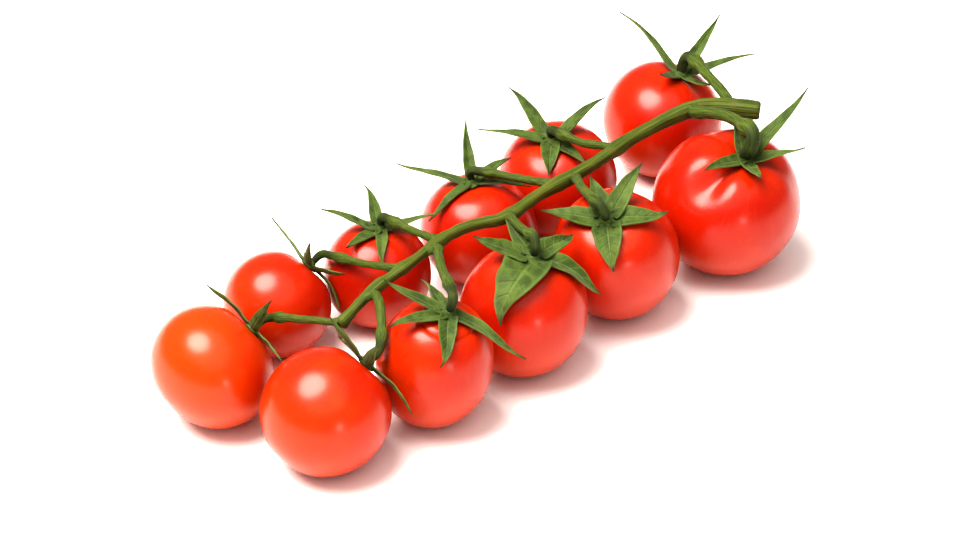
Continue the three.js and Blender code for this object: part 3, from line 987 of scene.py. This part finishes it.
def vine_green(name, tones, knuckle=None, cut=None):
    """A stem finish. By a knuckle, a place along its map, it gets painted shade in the groove and from
    there to the fruit end; or it takes a cut's tone at its end.
    """
    pale, dark, tan = tones
    finish = Finish(name)
    where = finish.places()
    along, around = finish.map_of_piece()
    fibres = finish.noise(finish.round_and_along(around, along, 1.2), 9, 4.0)
    blotches = finish.noise(where, 190, 3.0)
    grain = finish.noise(where, 2600, 1.0)
    colour = finish.mix(finish.fade(fibres, 0.36, 0.64), dark, pale)
    colour = finish.mix(finish.fade(blotches, 0.52, 0.72) * 0.55, colour, tan)
    if knuckle:
        # painted shade: a dark ring in the knuckle's groove, and the end from the knuckle to the fruit
        # darkened as shade under the star
        ring = finish.fade(abs(along - knuckle), 0.07, 0.01)
        colour = finish.mix(ring * 0.6, colour, KNUCKLE_SHADE)
        colour = finish.mix(finish.fade(along, 0.32, 0.10) * 0.9, colour, KNUCKLE_SHADE)
    if cut:
        colour = finish.mix(finish.fade(along, CUT_LENGTH, 0.0) * 0.5, colour, cut)
    finish.surface(
        Base_Color=colour,
        Roughness=0.52 + fibres * 0.2,
        Normal=finish.bump(fibres * 0.8 + grain * 0.35 + blotches * 0.4, 0.25 * MM, 0.8),
        Sheen_Weight=0.05,
        Sheen_Roughness=0.4,
        Specular_IOR_Level=0.3,
    )
    return finish


stem_green = vine_green("vine_green", STEM_TONES, cut=CUT_TAN)
stalk_green = vine_green("stalk_green", STALK_TONES, knuckle=KNUCKLE_AT)
for piece in stalks.values():
    piece.data.materials.append(stalk_green.material)
print("stalk nodes:", len(stalk_green.nodes))

# %% [markdown]
# The cut face shows an olive ring of wood round brown pith, both dried dark. Its pattern is a set of
# rings round the middle of the cut, so the object's coordinates are moved there by a Mapping node before
# their length is taken.

# %% The cut face
PITH_BROWN = tone(0.044, 0.040, 0.012)
WOOD_OLIVE = tone(0.032, 0.034, 0.009)
PITH_RADIUS = 0.4 * MM
WOOD_FROM = 1.7 * MM
RAGGED = 0.8 * MM  # how unevenly one gives way to the other
CUT_DEPTH = 0.8 * MM  # faces this near the cut that look along the stem belong to it
LOOKS_ALONG = 0.7

pith = Finish("cut_pith")
centred = pith.node("ShaderNodeMapping", values={"Vector": pith.places(), "Location": tuple(-cut_end)})
from_middle = pith.node("ShaderNodeVectorMath", {"operation": "LENGTH"}, {0: centred}, output=1)
fleck = pith.noise(pith.places(), 2500, 3.0)
wood = pith.fade(from_middle + (fleck - 0.5) * RAGGED, PITH_RADIUS, WOOD_FROM)
pith.surface(
    Base_Color=pith.mix(wood, PITH_BROWN, WOOD_OLIVE),
    Roughness=0.75,
    Normal=pith.bump(fleck, 0.3 * MM),
)
stem.data.materials.append(stem_green.material)
stem.data.materials.append(pith.material)
cut_faces = [
    face
    for face in stem.data.polygons
    if (face.center - cut_end).dot(cut_way) > -CUT_DEPTH and face.normal.dot(cut_way) > LOOKS_ALONG
]
for face in cut_faces:
    face.material_index = 1
print("cut face:", len(cut_faces), "faces")

# %% [markdown]
# A sepal's map runs from root to tip and from edge to edge, which is all a leaf pattern needs. A pale
# midrib follows the middle, side veins leave it at a slant, the margin is a lighter green, and the tip
# is dry and dark. A slanted vein is a line where a wave of the length, held back by the distance from
# the midrib, is at its crest. Each sepal's root end is darkened as painted shade from the hollow it grows
# out of. The hub where the sepals meet is painted one of the darkest greens on the truss, as painted shade
# deep in the hollow under the sepals.

# %% Sepals and hub
LEAF_GREEN = tone(0.073, 0.120, 0.018)
LEAF_DARK = tone(0.034, 0.060, 0.007)
LEAF_PALE = tone(0.122, 0.172, 0.038)
TIP_BROWN = tone(0.0278, 0.0278, 0.007)
# painted shade, for the hub deep in the hollow under the sepals
HUB_SHADE = tone(0.0116, 0.0226, 0.0041)
HUB_GREEN = tone(0.0423, 0.0615, 0.0128)
VEIN_WAVES = 34  # radians from root to tip
VEIN_SLANT = 5  # radians that a vein is held back by at the edge

sepal_green = Finish("sepal_green")
where = sepal_green.places()
along, across = sepal_green.map_of_piece()
from_rib = abs(across - 0.5) * 2
rib = sepal_green.fade(from_rib, 0.16, 0.03)
slant = along * VEIN_WAVES - from_rib * VEIN_SLANT
veins = sepal_green.fade(slant.sine(), 0.72, 1.0) * sepal_green.fade(from_rib, 1.0, 0.6)
margin = sepal_green.fade(from_rib, 0.74, 0.97)
mottle = sepal_green.noise(where, 430, 3.0)
broad = sepal_green.noise(where, 120, 2.0)
fuzz = sepal_green.noise(where, 3200, 1.0)

leaf = sepal_green.mix(sepal_green.fade(mottle, 0.34, 0.66), LEAF_DARK, LEAF_GREEN)
leaf = sepal_green.mix(sepal_green.fade(broad, 0.45, 0.75) * 0.55, leaf, LEAF_PALE)
leaf = sepal_green.mix(rib * 0.55 + veins * 0.22, leaf, LEAF_PALE)
leaf = sepal_green.mix(margin * 0.6, leaf, LEAF_PALE)
# painted shade: the root end of each sepal is darkened where it leaves the shaded hollow
leaf = sepal_green.mix(sepal_green.fade(along, 0.28, 0.0) * 0.55, leaf, LEAF_DARK)
leaf = sepal_green.mix(sepal_green.fade(along + (mottle - 0.5) * 0.2, 0.84, 0.98) * 0.85, leaf, TIP_BROWN)
sepal_green.surface(
    Base_Color=leaf,
    Roughness=0.55 + mottle * 0.2,
    Normal=sepal_green.bump(mottle * 0.5 + fuzz * 0.3 - rib * 0.7 - veins * 0.4, 0.3 * MM, 0.8),
    Sheen_Weight=0.12,
    Sheen_Roughness=0.4,
    Specular_IOR_Level=0.35,
)

hub_green = Finish("hub_green")
where = hub_green.places()
hub_mottle = hub_green.noise(where, 700, 3.0)
# painted shade: the hub's mottle runs between two dark greens, as shade deep in the hollow
hub_green.surface(
    Base_Color=hub_green.mix(hub_mottle, HUB_SHADE, HUB_GREEN),
    Roughness=0.6,
    Normal=hub_green.bump(hub_mottle, 0.4 * MM),
    Sheen_Weight=0.12,
    Sheen_Roughness=0.4,
)
for piece in star_pieces.values():
    piece.data.materials.clear()
    piece.data.materials.append(sepal_green.material)
    piece.data.materials.append(hub_green.material)
print("sepal nodes:", len(sepal_green.nodes))

# %% [markdown]
# The withered bud is papery: straw at its neck, browner towards the point, and creased lengthwise.

# %% The bud's finish
STRAW_DARK = tone(0.2436, 0.174, 0.0696)
STRAW_PALE = tone(0.4176, 0.3596, 0.2088)
POINT_BROWN = tone(0.0928, 0.0522, 0.0203)

papery = Finish("papery_bud")
around, rise = papery.map_of_piece()
creases = papery.noise(papery.round_and_along(around, rise, 0.3), 9, 3.0)
straw = papery.mix(papery.fade(creases, 0.35, 0.65), STRAW_DARK, STRAW_PALE)
straw = papery.mix(papery.fade(rise, 0.4, 0.0) * 0.8, straw, POINT_BROWN)
papery.surface(Base_Color=straw, Roughness=0.7, Normal=papery.bump(creases, 0.4 * MM))
bud.data.materials.append(papery.material)
print("bud nodes:", len(papery.nodes))

# %% [markdown]
# Each finished piece is parented to the truss's root, and the plain pieces that it stands for are hidden.

# %% Attach the pieces
hand_in(stem, "stem_green", "main_stem")
hand_in(bud, "bud_pale", "end_bud")
for number in fruits:
    hand_in(skins[number], "tomato_skin", f"tomato_{number:02d}")
    hand_in(stalks[number], "stalk_green", f"fruit_stalk_{number:02d}")
    hand_in(star_pieces[number], "calyx_green", f"calyx_{number:02d}")
start_clean()
for outline in (stem_section, stalk_section):
    bpy.data.objects.remove(outline)

# %% [markdown]
# A white table with no edge in view is all the setting a truss needs. Its finish is a plain matt white
# with a trace of grain, and it is marked as staging, so that it isn't taken for part of the object.

# %% The table
TABLE_SIZE = 6.0
CARD_WHITES = (tone(0.92, 0.92, 0.92), tone(0.94, 0.94, 0.94))
start_clean()
bpy.ops.mesh.primitive_plane_add(size=TABLE_SIZE, location=(0, 0, 0))
table = bpy.context.object
table.name = table.data.name = "white_table"
card = Finish("white_card")
card_grain = card.noise(card.places(), 60, 2.0)
card.surface(
    Base_Color=card.mix(card_grain, *CARD_WHITES),
    Roughness=0.9,
    Specular_IOR_Level=0.2,
)
table.data.materials.append(card.material)
table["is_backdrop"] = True
print("table:", TABLE_SIZE, "m wide")

# %% [markdown]
# The light is a product table's. A round softbox nearly overhead and a little to the left draws the
# highlight on the shoulder of every fruit. A second light, over three times as wide, hangs farther up, so
# the shadows have wide soft edges, and a small weak fill stands low at the front. A dim room gives the
# rest. All of them are a warm white, which keeps the reds from turning pink.

# %% Light
WARM_WHITE = (1.0, 0.95, 0.90)
ROOM_STRENGTH = 0.32
LIGHTS = {  # which way it is from the truss, its distance and width in metres, and its power in watts
    "softbox": ((-0.33, 0.15, 0.85), 0.85, 0.62, 12.5),
    "overhead": ((-0.25, -0.25, 1.0), 1.3, 2.2, 11.5),
    "low_fill": ((-0.32, -0.95, 0.10), 0.9, 0.13, 0.55),
}


def soft_light(name, toward, distance, width, power):
    """A round light that faces the truss from a direction."""
    way = Vector(toward).normalized()
    lamp = bpy.data.lights.new(name, "AREA")
    lamp.shape = "DISK"
    lamp.size = width
    lamp.energy = power
    lamp.color = WARM_WHITE
    holder = bpy.data.objects.new(name, lamp)
    bpy.context.scene.collection.objects.link(holder)
    holder.location = way * distance
    holder.rotation_mode = "QUATERNION"
    holder.rotation_quaternion = way.to_track_quat("Z", "Y")


for name, light in LIGHTS.items():
    soft_light(name, *light)

room = bpy.data.worlds.new("white_room")
bpy.context.scene.world = room
room.use_nodes = True
backdrop = next(node for node in room.node_tree.nodes if node.type == "BACKGROUND")
backdrop.inputs["Color"].default_value = tone(*WARM_WHITE)
backdrop.inputs["Strength"].default_value = ROOM_STRENGTH
bpy.context.scene.view_settings.view_transform = "Standard"
bpy.context.scene.view_settings.look = "High Contrast"
print("lights:", ", ".join(LIGHTS))

# %% [markdown]
# The camera looks down at the truss from the front left with a long lens, which keeps the near and the
# far fruit almost the same size. It aims at a spot on the table, measured from the second fruit.

# %% Camera
CAMERA_TURN = math.radians(-42)
CAMERA_RISE = math.radians(35)
CAMERA_DISTANCE = 640 * MM
LENS_LENGTH, FILM_WIDTH = 100, 36  # in mm
NEAREST, FARTHEST = 0.01, 20
AIM_FROM_FRUIT_2 = Vector((73.1 * MM, 31.7 * MM, 0))

second = fruits[2]["place"].translation
aim = Vector((second.x, second.y, 0)) + AIM_FROM_FRUIT_2
back = Vector((
    math.sin(CAMERA_TURN) * math.cos(CAMERA_RISE),
    -math.cos(CAMERA_TURN) * math.cos(CAMERA_RISE),
    math.sin(CAMERA_RISE),
))
lens = bpy.data.cameras.new("camera")
lens.lens, lens.sensor_width = LENS_LENGTH, FILM_WIDTH
lens.clip_start, lens.clip_end = NEAREST, FARTHEST
camera = bpy.data.objects.new("camera", lens)
bpy.context.scene.collection.objects.link(camera)
camera.location = aim + back * CAMERA_DISTANCE
camera.rotation_mode = "QUATERNION"
camera.rotation_quaternion = back.to_track_quat("Z", "Y")
bpy.context.scene.camera = camera
print("camera at", [round(metres, 3) for metres in camera.location], "m")

# %% [markdown]
# Last, the sizes of both models are set side by side, and the finished model's size is printed.

# %% Sizes, and finish
visual_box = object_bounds()
sizes = {
    "cad_box": [list(cad_box[0]), list(cad_box[1])],
    "visual_box": [list(visual_box[0]), list(visual_box[1])],
}
print("finished model, in mm:", [round(side / MM, 1) for side in visual_box[1] - visual_box[0]])
